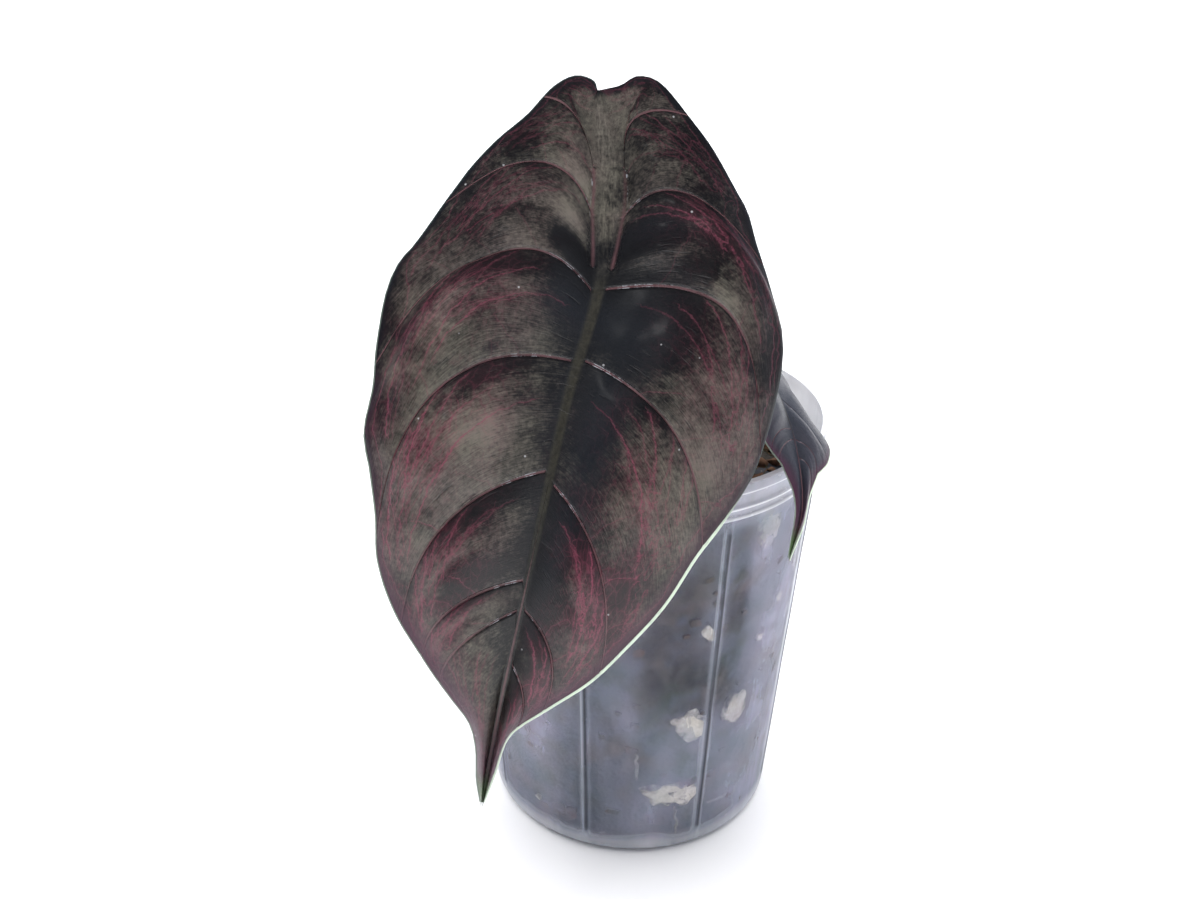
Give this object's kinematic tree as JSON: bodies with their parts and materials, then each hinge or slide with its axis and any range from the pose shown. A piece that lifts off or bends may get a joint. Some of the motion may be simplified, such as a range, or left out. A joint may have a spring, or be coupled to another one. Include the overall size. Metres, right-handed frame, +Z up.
{
  "type": "potted alocasia azlanii",
  "caption": "Potted aroid with dark glossy shield-shaped leaves on arching petioles, in a clear ribbed nursery pot filled with chunky mix.",
  "frame": {"origin": "centre of the pot's flat base, on the surface that it stands on", "axes": "+Z up; the plant faces -Y; +X is to the right of someone looking at its face"},
  "size_m": [0.1278, 0.1642, 0.2429],
  "materials": {
    "clear_plastic": "clear thin plastic with a bluish haze and scuffs",
    "potting_mix": "damp dark bark and coir with pale pumice lumps",
    "stem": "brown papery sheaths over a short stem",
    "petiole": "smooth dark maroon stalk",
    "leaf": "near-black satin upper face with crimson veins, pale green margin, maroon underside"
  },
  "bodies": {
    "root": {"pot": "clear_plastic", "potting_mix": "potting_mix", "stem_base": "stem", "petiole_front": "petiole", "petiole_side": "petiole", "leaf_front": "leaf", "leaf_side": "leaf"}
  },
  "joints": []
}
